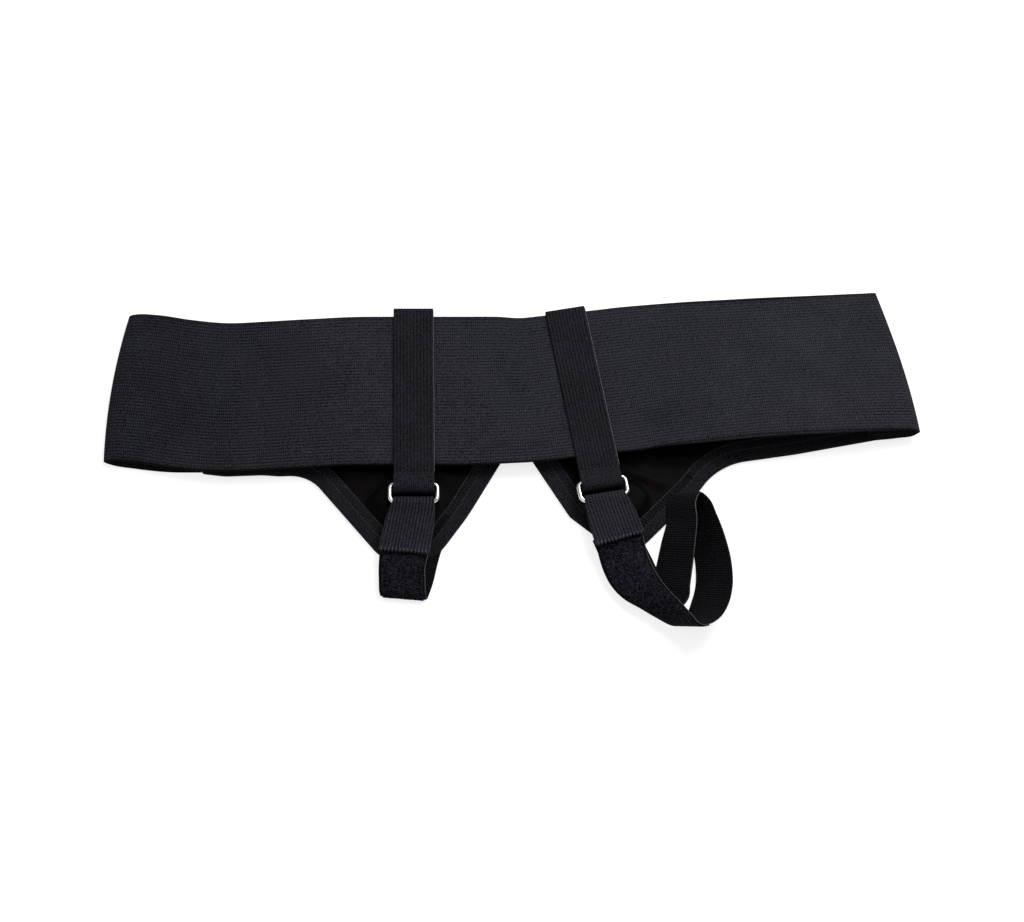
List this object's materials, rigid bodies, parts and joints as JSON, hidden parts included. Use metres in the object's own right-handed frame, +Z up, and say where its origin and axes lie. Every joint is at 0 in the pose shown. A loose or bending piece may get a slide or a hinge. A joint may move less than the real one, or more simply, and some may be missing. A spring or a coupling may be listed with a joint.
{
  "type": "hernia support belt",
  "caption": "Hernia support belt with an elastic waistband, padded groin panels, sliding webbing loops and adjustable leg straps, lying flat",
  "frame": {"origin": "middle of the belt's footprint, on the table it lies on", "axes": "+Z up from the table, +Y from the leg straps towards the waistband's upper edge, +X along the waistband away from the closure"},
  "size_m": [0.5072, 0.2363, 0.0256],
  "materials": {
    "elastic": "ribbed black woven elastic",
    "webbing": "black narrow woven webbing with lengthwise ribs",
    "strap": "black ribbed elastic strap",
    "pile": "black loop pile tape",
    "hook": "black hook tape",
    "shell": "black loop-faced cloth",
    "lining": "smooth black cloth",
    "foam": "sealed foam pad",
    "binding": "black overlocked edge binding",
    "thread": "black sewing thread",
    "ring": "polished nickel-plated wire"
  },
  "bodies": {
    "belt": {"waist_elastic": "elastic", "left_panel_shell": "shell", "left_pad_foam": "foam", "left_panel_lining": "lining", "left_panel_binding": "binding", "right_panel_shell": "shell", "right_pad_foam": "foam", "right_panel_lining": "lining", "right_panel_binding": "binding", "centre_bridge": "webbing", "left_leg_strap": "strap", "left_strap_pile": "pile", "right_leg_strap": "strap", "right_strap_pile": "pile"},
    "closure": {"closure_tab": "elastic", "closure_hook": "hook"},
    "left_slider": {"left_slider_loop": "webbing", "left_slider_stitches": "thread"},
    "left_ring": {"left_ring": "ring", "left_strap_head": "strap", "left_head_pile": "pile"},
    "left_tip": {"left_strap_tip": "strap", "left_tip_hook": "hook", "left_tip_stitches": "thread"},
    "right_slider": {"right_slider_loop": "webbing", "right_slider_stitches": "thread"},
    "right_ring": {"right_ring": "ring", "right_strap_head": "strap", "right_head_pile": "pile"},
    "right_tip": {"right_strap_tip": "strap", "right_tip_hook": "hook", "right_tip_stitches": "thread"}
  },
  "joints": [
    {"name": "closure_peel", "type": "hinge", "parent": "belt", "child": "closure", "pos_m": [-0.19165, 0.045, 0], "axis": [0, 1, 0], "range_deg": [0, 60]},
    {"name": "left_slide", "type": "slide", "parent": "belt", "child": "left_slider", "axis": [1, 0, 0], "range_m": [-0.015, 0.015]},
    {"name": "right_slide", "type": "slide", "parent": "belt", "child": "right_slider", "axis": [0.9925, 0.1219, 0], "range_m": [-0.012, 0.012]},
    {"name": "left_ring_lift", "type": "hinge", "parent": "left_slider", "child": "left_ring", "pos_m": [-0.06, -0.018, 0.01075], "axis": [-1, 0, 0], "range_deg": [0, 20]},
    {"name": "right_ring_lift", "type": "hinge", "parent": "right_slider", "child": "right_ring", "pos_m": [0.05495, -0.01609, 0.01277], "axis": [-0.9845, -0.1753, 0.0028], "range_deg": [0, 20]},
    {"name": "left_tip_peel", "type": "hinge", "parent": "left_ring", "child": "left_tip", "pos_m": [-0.06118, -0.03825, 0.01235], "axis": [-0.9951, 0.0993, 0], "range_deg": [0, 120]},
    {"name": "right_tip_peel", "type": "hinge", "parent": "right_ring", "child": "right_tip", "pos_m": [0.05949, -0.03592, 0.01366], "axis": [-0.9664, -0.257, -0.0001], "range_deg": [0, 120]}
  ]
}
